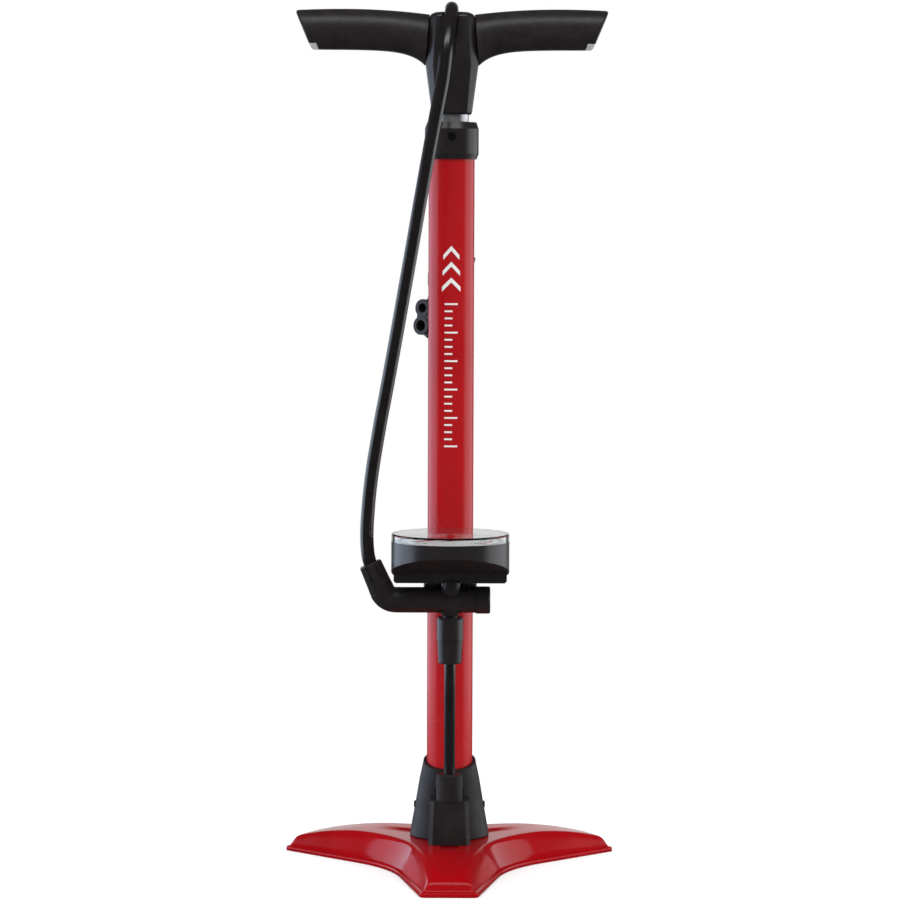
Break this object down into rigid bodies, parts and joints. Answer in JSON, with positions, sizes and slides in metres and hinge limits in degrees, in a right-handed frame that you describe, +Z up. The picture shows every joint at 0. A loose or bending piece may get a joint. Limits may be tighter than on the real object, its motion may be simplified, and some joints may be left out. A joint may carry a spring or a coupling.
{
  "type": "floor bike pump",
  "caption": "Upright floor pump with a T-shaped handle, tubular barrel, three-legged pressed base, upward-facing pressure gauge in front and a hose over the handle.",
  "frame": {"origin": "on the floor, on the barrel's axis, at the height of the base rim's underside", "axes": "+Z up along the barrel; -Y towards the gauge, which is the front; +X to the right seen from the front"},
  "size_m": [0.2562, 0.2228, 0.6599],
  "materials": {
    "red_paint": "gloss red paint over metal",
    "black_plastic": "satin moulded black plastic",
    "grip_rubber": "soft-touch black grip",
    "hose_rubber": "smooth black hose",
    "seal_rubber": "matt black rubber",
    "steel": "bright steel",
    "chrome": "polished hard chrome",
    "brass": "plain brass",
    "pale_plastic": "natural acetal",
    "dial_face": "printed dial",
    "pointer_red": "red pointer",
    "clear_lens": "clear moulded lens"
  },
  "bodies": {
    "pump": {"base_plate": "red_paint", "rubber_feet": "seal_rubber", "base_bolts": "steel", "base_collar": "black_plastic", "collar_screws": "black_plastic", "barrel": "red_paint", "barrel_seal": "seal_rubber", "check_spring": "steel", "outlet_ferrule": "black_plastic", "riser_tube": "hose_rubber", "riser_sleeve": "black_plastic", "riser_nut": "black_plastic", "riser_seal": "seal_rubber", "manifold": "black_plastic", "manifold_cap": "black_plastic", "manifold_seals": "seal_rubber", "manifold_screws": "steel", "swivel_elbow": "black_plastic", "hose_nut": "black_plastic", "main_hose": "hose_rubber", "clamp_front": "black_plastic", "clamp_rear": "black_plastic", "clamp_screws": "steel", "gauge_housing": "black_plastic", "gauge_dial": "dial_face", "gauge_lens": "clear_lens", "gauge_seal": "seal_rubber", "bourdon_tube": "brass", "gauge_movement": "brass", "top_cap": "black_plastic", "cap_screw": "steel", "guide_bush": "pale_plastic", "rod_wiper": "seal_rubber", "head_body": "black_plastic", "head_ferrule": "steel", "head_gaskets": "seal_rubber", "lever_pin": "steel", "head_clip": "black_plastic", "clip_pad": "seal_rubber"},
    "handle": {"piston_rod": "chrome", "piston": "pale_plastic", "piston_seal": "seal_rubber", "piston_bolt": "steel", "top_bumper": "seal_rubber", "handle_core": "black_plastic", "handle_screw": "steel", "grip_left": "grip_rubber", "grip_right": "grip_rubber", "grip_end_inserts": "steel"},
    "valve_ball": {"check_ball": "steel"},
    "pointer": {"gauge_pointer": "pointer_red"},
    "lever": {"head_lever": "black_plastic"},
    "plunger": {"head_plunger": "pale_plastic"}
  },
  "joints": [
    {"name": "handle_slide", "type": "slide", "parent": "pump", "child": "handle", "axis": [0, 0, 1], "range_m": [0, 0.44], "deforming": ["main_hose"]},
    {"name": "valve_ball_lift", "type": "slide", "parent": "pump", "child": "valve_ball", "axis": [0, 0, 1], "range_m": [0, 0.002], "stiffness_N_per_m": 150, "springref_m": -0.002, "deforming": ["check_spring"]},
    {"name": "pointer_turn", "type": "hinge", "parent": "pump", "child": "pointer", "pos_m": [0, -0.063, 0.2567], "axis": [0, 0, -1], "range_deg": [0, 270], "stiffness_Nm_per_rad": 0.0001},
    {"name": "lever_swing", "type": "hinge", "parent": "pump", "child": "lever", "pos_m": [-0.0053, 0.0384, 0.41686], "axis": [0.797, -0.6, -0.0697], "range_deg": [-65, 12]},
    {"name": "plunger_slide", "type": "slide", "parent": "pump", "child": "plunger", "axis": [-0.5977, -0.8, 0.0523], "range_m": [-0.0006, 0.0016]}
  ],
  "couplings": [
    {"joint": "plunger_slide", "follows": "lever_swing", "m_per_rad": -0.0013222}
  ]
}
